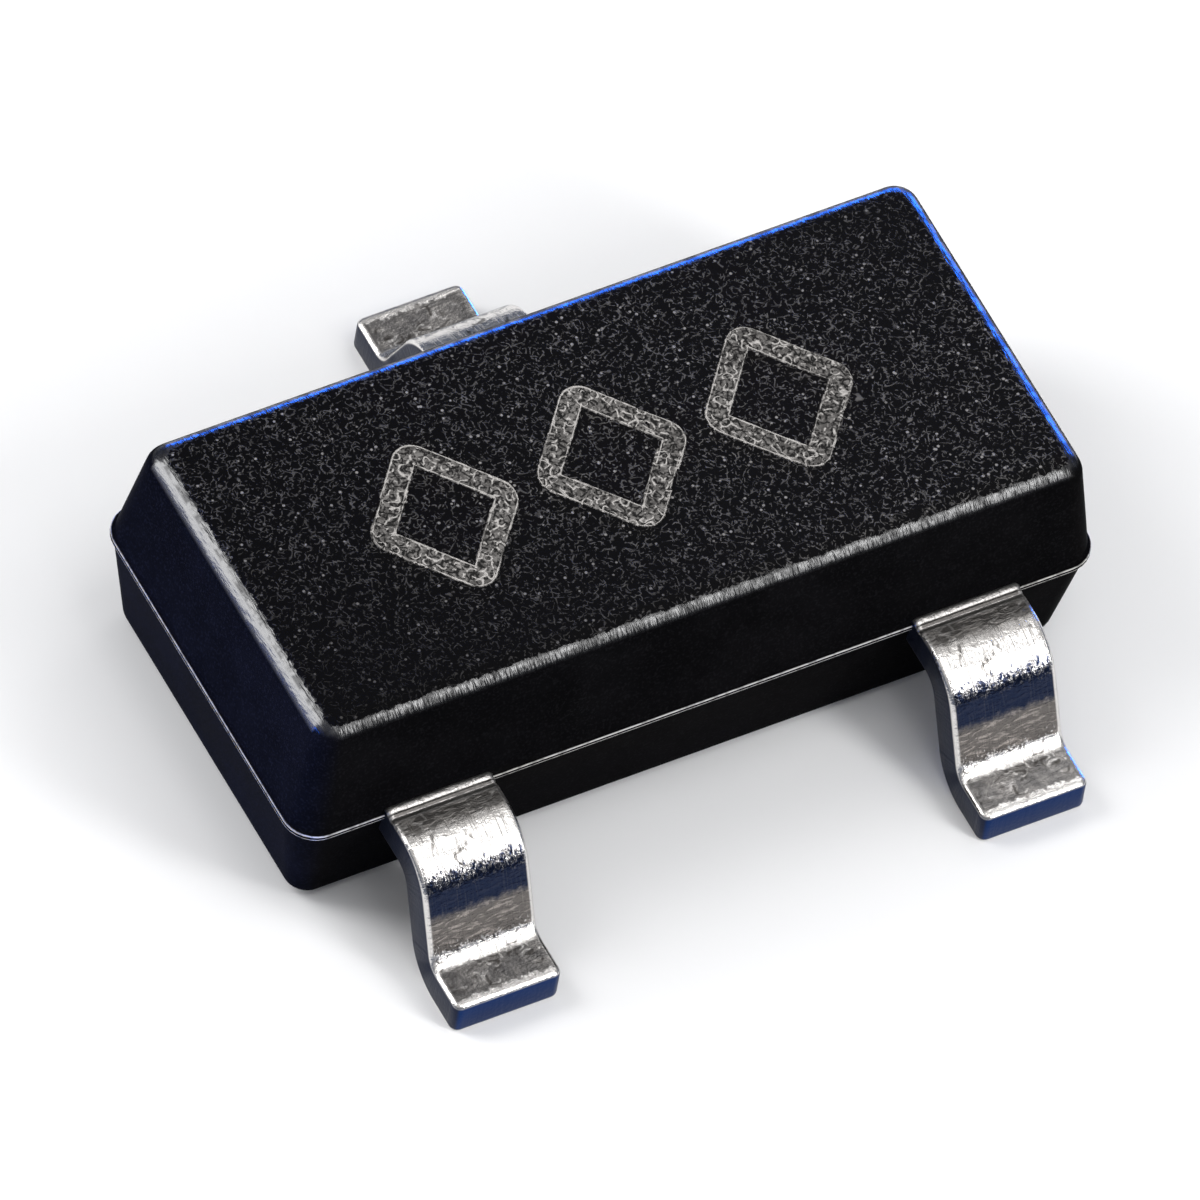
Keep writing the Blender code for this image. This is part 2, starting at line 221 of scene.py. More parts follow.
@named
class StudioSettings(bpy.types.PropertyGroup):
    azimuth: degrees(-36.16, "Direction of the camera round the part")
    elevation: degrees(53.39, "Height of the camera over the horizon")
    roll: degrees(10.72, "Turn of the camera about its own axis")
    distance: mm(148.4, "Distance of the camera from the part")
    picture_width: mm(3.818, "Width of what the picture takes in at the part")
    aim_right: mm(-0.0037, "Shift of the camera to its right")
    aim_up: mm(-0.1949, "Shift of the camera upwards")
    floor_radius: mm(60.0, "Radius of the floor")
    floor: colour((0.93, 0.93, 0.935), "floor")


SETTINGS = {
    "moulding": MouldingSettings,
    "leads": LeadSettings,
    "inner": InnerSettings,
    "mark": MarkSettings,
    "studio": StudioSettings,
}


# Helpers for meshes


def new_object(name, mesh):
    """Links a new object at the origin."""
    obj = bpy.data.objects.new(name, mesh)
    bpy.context.scene.collection.objects.link(obj)
    return obj


def object_from_bmesh(name, bm):
    bm.normal_update()
    bmesh.ops.recalc_face_normals(bm, faces=bm.faces)
    mesh = bpy.data.meshes.new(name)
    bm.to_mesh(mesh)
    bm.free()
    return new_object(name, mesh)


def shaped_by_nodes(obj, tree, sizes):
    """Evaluates the object through a node tree and returns a plain object in metres in its place."""
    modifier = obj.modifiers.new(tree.name, "NODES")
    modifier.node_group = tree
    for item in tree.interface.items_tree:
        if item.item_type == "SOCKET" and item.in_out == "INPUT" and item.name in sizes:
            modifier[item.identifier] = sizes[item.name]
    bpy.context.view_layer.update()
    evaluated = obj.evaluated_get(bpy.context.evaluated_depsgraph_get())
    mesh = bpy.data.meshes.new_from_object(evaluated)
    name = obj.name
    obj.modifiers.remove(modifier)
    bpy.data.objects.remove(obj)
    mesh.name = name
    mesh.transform(Matrix.Scale(MM, 4))
    return new_object(name, mesh)


def finish_piece(obj, slot, *nodes, rims=()):
    """Rides the piece on the body; rims names the rim lamps that light it."""
    for name in rims:
        lit_by(name).objects.link(obj)
    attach(obj, BODY)
    if nodes:
        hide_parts(*nodes)


# Helpers for node trees


class Value:
    """What comes out of a node; plain arithmetic on it adds the Math nodes that work it out."""

    def __init__(self, socket):
        self.socket = socket
        self.tree = socket.id_data

    def __add__(self, other):
        return calculate("ADD", self, other)

    def __sub__(self, other):
        return calculate("SUBTRACT", self, other)

    def __rsub__(self, other):
        return calculate("SUBTRACT", other, self)

    def __mul__(self, other):
        return calculate("MULTIPLY", self, other)

    def __truediv__(self, other):
        return calculate("DIVIDE", self, other)

    def __rtruediv__(self, other):
        return calculate("DIVIDE", other, self)

    def __pow__(self, other):
        return calculate("POWER", self, other)

    def __abs__(self):
        return calculate("ABSOLUTE", self)


def plug(socket, value):
    """Gives an input its value: a plain one, or what comes out of another node."""
    if isinstance(value, Value):
        socket.id_data.links.new(value.socket, socket)
    else:
        socket.default_value = value


def add_node(tree, kind, inputs=None, **choices):
    """Adds a node; an input that is None keeps its own default."""
    node = tree.nodes.new(kind)
    for name, value in choices.items():
        setattr(node, name, value)
    for key, value in (inputs or {}).items():
        if value is not None:
            plug(node.inputs[key], value)
    return node


def out_of(tree, kind, inputs=None, output=0, **choices):
    """What comes out of a new node."""
    return Value(add_node(tree, kind, inputs, **choices).outputs[output])


def calculate(operation, *values):
    """A Math node's result on numbers and Values."""
    tree = next(value.tree for value in values if isinstance(value, Value))
    return out_of(tree, "ShaderNodeMath", dict(enumerate(values)), operation=operation)


def largest(first, *others):
    for other in others:
        first = calculate("MAXIMUM", first, other)
    return first


def ramp_up(value, low, high):
    """A smooth mask that rises from 0 at low to 1 at high."""
    inputs = {"Value": value, "From Min": low, "From Max": high}
    return out_of(value.tree, "ShaderNodeMapRange", inputs, "Result", interpolation_type="SMOOTHSTEP")


def ramp_down(value, low, high):
    """A smooth mask that falls from 1 at low to 0 at high."""
    return 1 - ramp_up(value, low, high)


def vectors(operation, first, second=None, scale=None):
    """A Vector Math node's result."""
    given = {0: first, 1: second, "Scale": scale}
    return out_of(first.tree, "ShaderNodeVectorMath", given, operation=operation)


def parts(vector):
    """The three numbers of a vector."""
    return [Value(part) for part in add_node(vector.tree, "ShaderNodeSeparateXYZ", {0: vector}).outputs]


def turned(vector, angle, scale):
    """The vector turned in plan, by degrees, and stretched."""
    inputs = {"Vector": vector, "Rotation": (0.0, 0.0, math.radians(angle)), "Scale": scale}
    return out_of(vector.tree, "ShaderNodeMapping", inputs)


def noise(vector, size, detail=2.0, roughness=0.5, distortion=0.0, seed=None, output=0):
    """Noise whose features are about size across, in the vector's own unit; a seed picks another noise."""
    inputs = {"Vector": vector, "Scale": 1 / size, "Detail": detail, "Roughness": roughness}
    inputs.update({"Distortion": distortion, "W": seed})
    dimensions = "3D" if seed is None else "4D"
    return out_of(vector.tree, "ShaderNodeTexNoise", inputs, output, noise_dimensions=dimensions)


def curled_lines(place, size, seed, feature="F1", centre=0.38, width=1.0, gap=0.50, apart=1000):
    """Short curled lines with gaps: arcs round the points of warped cells, or the cells' borders."""
    sway = noise(place, size / 0.7, 1.0, seed=seed * apart, output="Color")
    warp = vectors("SCALE", vectors("SUBTRACT", sway, (0.5, 0.5, 0.5)), scale=size * 1.6)
    moved = vectors("ADD", vectors("ADD", place, warp), (seed * apart * 0.01, 0.0, 0.0))
    cells = {"Vector": moved, "Scale": 1 / size}
    kind = {"voronoi_dimensions": "2D", "feature": feature}
    away = out_of(place.tree, "ShaderNodeTexVoronoi", cells, "Distance", **kind)
    line = ramp_down(abs(away - centre), 0.03 * width, 0.115 * width)
    return line * ramp_up(noise(place, size / 2.2, 1.0, seed=(seed + 4) * apart), gap, gap + 0.10)


def mix_colours(factor, first, second):
    first, second = (value if isinstance(value, Value) else (*value, 1.0) for value in (first, second))
    return out_of(factor.tree, "ShaderNodeMix", {0: factor, 6: first, 7: second}, 2, data_type="RGBA")


def mix_values(factor, first, second):
    return out_of(factor.tree, "ShaderNodeMix", {0: factor, 2: first, 3: second}, data_type="FLOAT")


def new_material(name):
    """An empty material; returns it, its shader and the place on the part in millimetres."""
    material = bpy.data.materials.new(name)
    material.use_nodes = True
    tree = material.node_tree
    tree.nodes.clear()
    shader = add_node(tree, "ShaderNodeBsdfPrincipled")
    add_node(tree, "ShaderNodeOutputMaterial", {"Surface": Value(shader.outputs[0])})
    place = vectors("SCALE", out_of(tree, "ShaderNodeTexCoord", output="Object"), scale=1 / MM)
    return material, shader, place


def bump(height, depth):
    """A bump whose full height is depth, in millimetres."""
    return out_of(height.tree, "ShaderNodeBump", {"Height": height, "Distance": depth * MM})


def wire_shader(shader, base, rough, normal, others=None):
    for key, value in {"Base Color": base, "Roughness": rough, "Normal": normal, **(others or {})}.items():
        plug(shader.inputs[key], value)


def new_shape_tree(name, *labels):
    """A geometry tree with a named input for each size; returns the tree and its inputs by name."""
    tree = bpy.data.node_groups.new(name, "GeometryNodeTree")
    for way in ("INPUT", "OUTPUT"):
        tree.interface.new_socket("Geometry", in_out=way, socket_type="NodeSocketGeometry")
    for label in labels:
        tree.interface.new_socket(label, in_out="INPUT", socket_type="NodeSocketFloat")
    outputs = tree.nodes.new("NodeGroupInput").outputs
    return tree, {label: Value(outputs[label]) for label in ("Geometry", *labels)}


def moved_by(geometry, offset):
    return out_of(geometry.tree, "GeometryNodeSetPosition", {"Geometry": geometry, "Offset": offset})


def pushed(geometry, distance):
    """The skin moved out along its normals."""
    normal = out_of(geometry.tree, "GeometryNodeInputNormal")
    return moved_by(geometry, vectors("SCALE", normal, scale=distance))


def close_shape_tree(geometry, material):
    """Ends a tree with smooth shading, real geometry and its material."""
    tree = geometry.tree
    shaded = out_of(tree, "GeometryNodeSetShadeSmooth", {"Geometry": geometry, "Shade Smooth": True})
    real = out_of(tree, "GeometryNodeRealizeInstances", {"Geometry": shaded})
    dressed = out_of(tree, "GeometryNodeSetMaterial", {"Geometry": real, "Material": material})
    add_node(tree, "NodeGroupOutput", {0: dressed})
    return tree


# Moulding


def parting_height(leads):
    return LEAD_TOP - leads.above_parting


def half_profile(spec, height, draft, edge_radius, wall_rows, edge_rows):
    """The section from the parting ledge to one flat face, as (rise, inset) pairs."""
    half_ledge = spec.ledge_height / 2
    nose = min(half_ledge, spec.ledge_width) / 2
    arc_start = height - edge_radius + edge_radius * math.sin(draft)
    wall_inset = spec.ledge_width + (arc_start - half_ledge) * math.tan(draft)
    arc_centre = wall_inset + edge_radius * math.cos(draft)
    profile = []
    for step in range(4):
        angle = math.pi / 2 * step / 3
        profile.append((half_ledge - nose + nose * math.sin(angle), nose - nose * math.cos(angle)))
    for row in range(wall_rows + 1):
        rise = half_ledge + (arc_start - half_ledge) * row / wall_rows
        profile.append((rise, spec.ledge_width + (rise - half_ledge) * math.tan(draft)))
    for row in range(1, edge_rows + 1):
        angle = draft + (math.pi / 2 - draft) * row / edge_rows
        rise = height - edge_radius + edge_radius * math.sin(angle)
        profile.append((rise, arc_centre - edge_radius * math.cos(angle)))
    return profile


def grid_lines(length, radius, cell, corner_cells):
    """Lines across one direction, as (side, share): side 0 for the straight run, or the corner's side."""
    straight = max(2, round((length - 2 * radius) / cell))
    lines = [(-1, 1 - i / corner_cells) for i in range(corner_cells)]
    lines += [(0, -1 + 2 * i / straight) for i in range(straight + 1)]
    lines += [(1, (i + 1) / corner_cells) for i in range(corner_cells)]
    return lines


def on_rounded_rectangle(line_x, line_y, half_x, half_y, radius):
    """Where a grid crossing lies on a rectangle whose corners are quarter discs."""
    side_x, share_x = line_x
    side_y, share_y = line_y
    if side_x and side_y:
        round_x = share_x * math.sqrt(1 - share_y**2 / 2)
        round_y = share_y * math.sqrt(1 - share_x**2 / 2)
        share_x, share_y = round_x, round_y
    inner_x = half_x - radius
    inner_y = half_y - radius
    x = side_x * (inner_x + radius * share_x) if side_x else share_x * inner_x
    y = side_y * (inner_y + radius * share_y) if side_y else share_y * inner_y
    return x, y


def moulding_mesh(spec, leads):
    """A dense closed skin: a grid on the top, rings down the walls and one face under the body."""
    parting = parting_height(leads)
    above, below = MOULDING_HIGH.z - parting, parting - MOULDING_LOW.z
    upper = half_profile(spec, above, spec.upper_draft, spec.top_edge_radius, 16, 10)
    lower = half_profile(spec, below, spec.lower_draft, spec.bottom_edge_radius, 12, 6)
    section = upper[::-1] + [(-rise, inset) for rise, inset in lower]
    size = MOULDING_HIGH - MOULDING_LOW
    centre = (MOULDING_HIGH + MOULDING_LOW) / 2
    top_inset = upper[-1][1]

    def ring_radius(inset):
        return max(spec.corner_radius - inset / 2, spec.corner_radius / 4)

    cells = max(3, round(ring_radius(top_inset) / spec.cell))
    lines_x = grid_lines(size.x - 2 * top_inset, ring_radius(top_inset), spec.cell, cells)
    lines_y = grid_lines(size.y - 2 * top_inset, ring_radius(top_inset), spec.cell, cells)

    def crossing(i, j, rise, inset):
        half_x = size.x / 2 - inset
        half_y = size.y / 2 - inset
        x, y = on_rounded_rectangle(lines_x[i], lines_y[j], half_x, half_y, ring_radius(inset))
        return centre.x + x, centre.y + y, parting + rise

    last_x = len(lines_x) - 1
    last_y = len(lines_y) - 1
    points = [crossing(i, j, *section[0]) for j in range(last_y + 1) for i in range(last_x + 1)]
    row = last_x + 1
    faces = []
    for j in range(last_y):
        for i in range(last_x):
            corner = j * row + i
            faces.append((corner, corner + 1, corner + row + 1, corner + row))
    around = [(i, 0) for i in range(last_x)] + [(last_x, j) for j in range(last_y)]
    around += [(i, last_y) for i in range(last_x, 0, -1)] + [(0, j) for j in range(last_y, 0, -1)]
    above = [j * row + i for i, j in around]
    for rise, inset in section[1:]:
        below = list(range(len(points), len(points) + len(around)))
        points += [crossing(i, j, rise, inset) for i, j in around]
        for k in range(len(around)):
            after = (k + 1) % len(around)
            faces.append((above[k], below[k], below[after], above[after]))
        above = below
    faces.append(tuple(reversed(above)))
    mesh = bpy.data.meshes.new("moulding")
    mesh.from_pydata(points, [], faces)
    mesh.update()
    return mesh


def worn_skin_tree(material):
    """Moves a smooth skin in and out: a worn grain on its upward faces, a slight unevenness elsewhere."""
    tree, given = new_shape_tree("Worn skin", "Grain", "Top depth", "Wall depth", "Seed")
    place = out_of(tree, "GeometryNodeInputPosition")
    up = parts(out_of(tree, "GeometryNodeInputNormal"))[2]
    grain = noise(place, given["Grain"], 3.0, 0.6, seed=given["Seed"])
    broad = noise(place, given["Grain"] / 0.4, seed=given["Seed"])
    worn = (grain - 0.55) * given["Top depth"]
    uneven = (broad - 0.5) * given["Wall depth"]
    move = mix_values(ramp_up(up, 0.90, 0.998), uneven, worn)
    return close_shape_tree(pushed(given["Geometry"], move), material)


def worn_top(place, painted_light_across):
    """The worn top: its pale curls, which are painted glints and also its relief, and their strength, which
    is painted light that grows rightwards and fades towards the front left and back right corners; and its
    grains, pale specks that fade the same way.
    """
    curls = largest(
        curled_lines(place, 0.042, 1.0, width=0.8),
        curled_lines(place, 0.036, 7.0, centre=0.36, width=0.8),
        curled_lines(place, 0.033, 13.0, "DISTANCE_TO_EDGE", 0.0, width=0.8),
    )
    cells = out_of(place.tree, "ShaderNodeTexVoronoi", {"Vector": place, "Scale": 1 / 0.030}, "Distance")
    grains = ramp_down(cells, 0.10, 0.22) * ramp_up(noise(place, 0.05, 1.0), 0.46, 0.56)
    # Painted light: the painted glints and the grains are dimmed towards the front left and back right
    # corners.
    across, depth, _ = parts(place)
    off_diagonal = across * 0.345 + depth * 0.714
    rubbed = ramp_up(off_diagonal, -0.95, -0.02) * 0.72 + 0.16
    rubbed *= ramp_up(off_diagonal, 0.42, 0.85) * -0.48 + 1.0
    strength = (noise(place, 0.06) * 0.62 - 0.06) * rubbed * (painted_light_across * 0.24 + 0.76)
    return curls, strength, grains * (rubbed * 0.80)


def epoxy_material(spec, leads):
    """Black epoxy: a worn matte top with painted glints and painted light across it, glossy edges round it,
    smooth walls and a pale parting line that is partly a painted highlight.
    """
    material, shader, place = new_material("Black epoxy")
    across, _, height = parts(place)
    sideways, outward, _ = parts(out_of(place.tree, "ShaderNodeNewGeometry", output="Normal"))
    front = ramp_down(outward, -0.25, -0.08)
    squarely_front = ramp_down(outward, -0.78, -0.66)
    left = ramp_down(sideways, -0.62, -0.48)
    squarely_left = left * ramp_down(abs(outward), 0.05, 0.16)
    # Painted light: the top's ground and its painted glints grow brighter towards the right.
    painted_light_rightwards = ramp_up(across, -1.6, 1.0)

    above_top = height - MOULDING_HIGH.z
    ragged = noise(place, 0.022, 3.0, 0.6) * 0.014 + above_top + front * 0.006
    worn = ramp_up(ragged, 0.0025, 0.0040)
    curls, strength, grains = worn_top(place, painted_light_rightwards)
    curls *= worn

    tone = ramp_up(noise(place, 0.30, 4.0, 0.65), 0.35, 0.70) * 0.35
    tone += ramp_up(noise(place, 0.009, 1.0), 0.50, 0.72) * 0.65
    # The dimmer black darkens the left of the top as painted shade.
    dark, pale, painted_shade_black = ([part * times for part in spec.black] for times in (0.45, 1.35, 0.70))
    ground = mix_colours(worn, mix_colours(tone, dark, pale), mix_colours(painted_light_rightwards, painted_shade_black, spec.black))
    base = mix_colours(curls * strength, ground, spec.filler)
    base = mix_colours(grains * worn, base, spec.filler)

    # The pale lines along both edges of the parting ledge are partly resin bleed and partly a painted
    # highlight; on the left end their colour is warmed against the blue rim lamp, as painted light.
    off_parting = abs(height - parting_height(leads))
    line = ramp_down(off_parting, 0.0085, 0.0108) * ramp_up(off_parting, 0.0038, 0.0060)
    line *= ramp_up(noise(place, 0.026), 0.36, 0.52) * 0.45 + 0.50
    base = mix_colours(line, base, mix_colours(left, spec.flash, spec.stained_flash))

    patch = noise(place, 0.30, 3.0)
    rough = mix_values(worn, patch * 0.16 + 0.30, patch * 0.20 + 0.44)
    grain = noise(place, 0.013, 2.0, 0.55, 0.6)
    relief = mix_values(worn, noise(place, 0.006) * 0.10, grain + curls * 0.6)

    lowered = above_top + squarely_front * 0.007 + squarely_left * 0.014
    edge_low = -0.43 * spec.top_edge_radius
    edge = ramp_up(lowered, edge_low - 0.002, edge_low + 0.022) * (1 - worn)
    knots = ramp_up(noise(place, 0.045, 2.0, 0.6), 0.36, 0.60) * 0.58 + 0.42
    ribs = noise(turned(place, 40.0, (1.0, 0.18, 0.18)), 0.012, 2.0, 0.6)
    coat = {"Coat Weight": edge * largest(knots, left), "Coat Normal": bump(ribs, 0.003)}
    coat.update({"Coat Roughness": 0.26, "Coat IOR": 1.95, "IOR": 1.02})
    wire_shader(shader, base, rough, bump(relief, 0.0045), coat)
    return material


class TRANSISTOR_OT_moulding(bpy.types.Operator):
    """Build the black moulding with its worn top, rounded edges and parting ledge"""

    bl_idname = "transistor.moulding"
    bl_label = "Moulding"

    def execute(self, context):
        spec = context.scene.moulding
        leads = context.scene.leads
        epoxy = epoxy_material(spec, leads)
        skin = new_object("moulding", moulding_mesh(spec, leads))
        sizes = {"Grain": spec.top_grain, "Top depth": spec.top_depth, "Seed": 3.0}
        sizes["Wall depth"] = spec.wall_depth
        body = shaped_by_nodes(skin, worn_skin_tree(epoxy), sizes)
        finish_piece(body, "black_epoxy", "moulded_body", rims=RIM_LAMPS)
        return {"FINISHED"}


# Leads


def lead_form(spec):
    """The bends of a lead as (length, turn) runs, from the body's middle out to the tip of the foot."""
    turn = spec.leg_angle
    bottom = LEAD_TOP - spec.thickness
    radii = spec.upper_bend_radius + spec.lower_bend_radius
    leg = (bottom - radii * (1 - math.cos(turn))) / math.sin(turn)
    return (
        (MOULDING_HIGH.y + spec.shoulder, 0.0),
        (spec.upper_bend_radius * turn, turn),
        (leg, 0.0),
        (spec.lower_bend_radius * turn, -turn),
        (spec.foot, 0.0),
    )


def formed(spec, along, above):
    """How far out and how high a point of the flat blank lies once the lead is bent."""
    out = 0.0
    up = LEAD_TOP - spec.thickness / 2
    heading = 0.0
    left = along
    for length, turn in lead_form(spec):
        run = min(left, length)
        if turn:
            bend = turn / length
            after = heading + bend * run
            out += (math.sin(after) - math.sin(heading)) / bend
            up += (math.cos(after) - math.cos(heading)) / bend
            heading = after
        else:
            out += run * math.cos(heading)
            up -= run * math.sin(heading)
        left -= run
        if left <= 0:
            break
    return out + above * math.sin(heading), up + above * math.cos(heading)


def strip_outline(spec, start, tip):
    half = spec.width / 2
    return [(half, start), (half, tip), (-half, tip), (-half, start)]


def post_outline(spec, inner, tip, towards_die):
    """The flat outline of an outer lead; towards_die is the side of its middle that the die is on."""
    lock = MOULDING_HIGH.y - inner.lock_depth
    reach = (inner.post_towards_end, inner.post_towards_die)
    left, right = reach if towards_die > 0 else reach[::-1]
    post = [(-left, inner.post_from_middle), (right, inner.post_from_middle), (right, lock)]
    return [*post, *strip_outline(spec, lock, tip), (-left, lock)]


def paddle_outline(spec, inner, tip):
    """The flat outline of the collector lead: the strip, its taper and the paddle under the die."""
    side = inner.paddle_width / 2
    end = -inner.paddle_past_middle
    neck = MOULDING_HIGH.y - inner.lock_depth
    shoulder = neck - inner.paddle_taper
    return [(-side, end), (side, end), (side, shoulder), *strip_outline(spec, neck, tip), (-side, shoulder)]


def stamped_blank(spec, inner, outline):
    """The flat strip as it is stamped, with rounded corners and edges, drawn with +Y outwards."""
    bm = bmesh.new()
    bottom = -spec.thickness / 2
    bm.faces.new([bm.verts.new((x, y, bottom)) for x, y in outline])
    tip_along = max(y for _, y in outline)
    tip = [vert for vert in bm.verts if vert.co.y > tip_along - spec.edge_radius]
    rest = [vert for vert in bm.verts if vert not in tip]
    for verts, radius in ((tip, spec.tip_radius), (rest, inner.corner_radius)):
        bmesh.ops.bevel(
            bm, geom=verts, offset=radius, segments=6, profile=0.5, affect="VERTICES", clamp_overlap=True
        )
    extruded = bmesh.ops.extrude_face_region(bm, geom=bm.faces[:], use_keep_orig=True)["geom"]
    top = [item for item in extruded if isinstance(item, bmesh.types.BMVert)]
    bmesh.ops.translate(bm, verts=top, vec=(0.0, 0.0, spec.thickness))
    bmesh.ops.recalc_face_normals(bm, faces=bm.faces)
    level = spec.thickness / 10
    rims = [edge for edge in bm.edges if abs(edge.verts[0].co.z - edge.verts[1].co.z) < level]
    bmesh.ops.bevel(bm, geom=rims, offset=spec.edge_radius, segments=4, profile=0.5, affect="EDGES")
    return bm


def cut_by_planes(bm, places, normal, keep_out=None):
    """Slices the mesh by parallel planes; where keep_out is given, only faces past that y are cut."""
    for place in places:
        faces = bm.faces
        if keep_out is not None:
            faces = [face for face in bm.faces if face.calc_center_median().y > keep_out]
        cut = dict.fromkeys(item for face in faces for item in (*face.verts, *face.edges, face))
        origin = [place * part for part in normal]
        bmesh.ops.bisect_plane(bm, geom=list(cut), dist=1e-5, plane_co=origin, plane_no=normal)


def spaced(start, end, step):
    cells = max(1, round((end - start) / step))
    return [start + (end - start) * i / cells for i in range(cells + 1)]


def groove_lines(spec):
    start = MOULDING_HIGH.y + spec.groove_from_wall
    end = start + spec.groove_width
    return [start - spec.groove_flank, start, end, end + spec.groove_flank]


def coin_groove(bm, spec):
    """Presses the shallow groove across the upper face of the shoulder."""
    start, end = groove_lines(spec)[1:3]
    pressed = 1 - 2 * spec.groove_depth / spec.thickness
    for vert in bm.verts:
        if vert.co.z > 0 and start - 1e-4 < vert.co.y < end + 1e-4:
            vert.co.z *= pressed


def raise_bead(bm, spec):
    """Lifts the plating where it meets the wall, so that it slopes down from the wall."""
    for vert in bm.verts:
        past_wall = vert.co.y - MOULDING_HIGH.y
        if vert.co.z > spec.thickness / 4 and -1e-4 < past_wall < spec.bead_length:
            vert.co.z += spec.bead_height * (1 - past_wall / spec.bead_length)


def lead_skin(name, spec, inner, outline, length):
    """A bent lead about its own middle, with the flat blank's places kept in a UV map."""
    bm = stamped_blank(spec, inner, outline)
    inside = MOULDING_HIGH.y - spec.slice_length
    half = spec.width / 2 - spec.edge_radius
    start = MOULDING_HIGH.y
    lines = spaced(inside, length - spec.edge_radius, spec.slice_length)
    cut_by_planes(bm, groove_lines(spec) + lines, (0.0, 1.0, 0.0))
    cut_by_planes(bm, spaced(-half, half, spec.slice_width)[1:-1], (1.0, 0.0, 0.0), start)
    coin_groove(bm, spec)
    raise_bead(bm, spec)
    flat = bm.loops.layers.uv.new("Flat blank")
    for face in bm.faces:
        for loop in face.loops:
            loop[flat].uv = (loop.vert.co.x, loop.vert.co.y)
    for vert in bm.verts:
        out, up = formed(spec, vert.co.y, vert.co.z)
        vert.co = (-vert.co.x, -out, up)
    return object_from_bmesh(name, bm)


def plated_skin_tree(material):
    """Moves the smooth metal in and out in long low waves, as plating lies on stamped strip."""
    tree, given = new_shape_tree("Plated skin", "Wave length", "Wave height", "Seed")
    wave = noise(out_of(tree, "GeometryNodeInputPosition"), given["Wave length"], seed=given["Seed"])
    return close_shape_tree(pushed(given["Geometry"], (wave - 0.5) * given["Wave height"]), material)


def scratches(flat, angle, size, low, high):
    return ramp_up(noise(turned(flat, angle, (1.0, 0.035, 1.0)), size, 2.0, 0.6), low, high)


def out_of_corner(spec, across, past_tip):
    """Distance from the centre of a foot's rounded corner or, along an edge, from the line through it."""
    past_side = abs(across) - (spec.width / 2 - spec.tip_radius)
    squares = largest(past_side, 0.0) ** 2 + largest(past_tip, 0.0) ** 2
    return calculate("SQRT", squares)


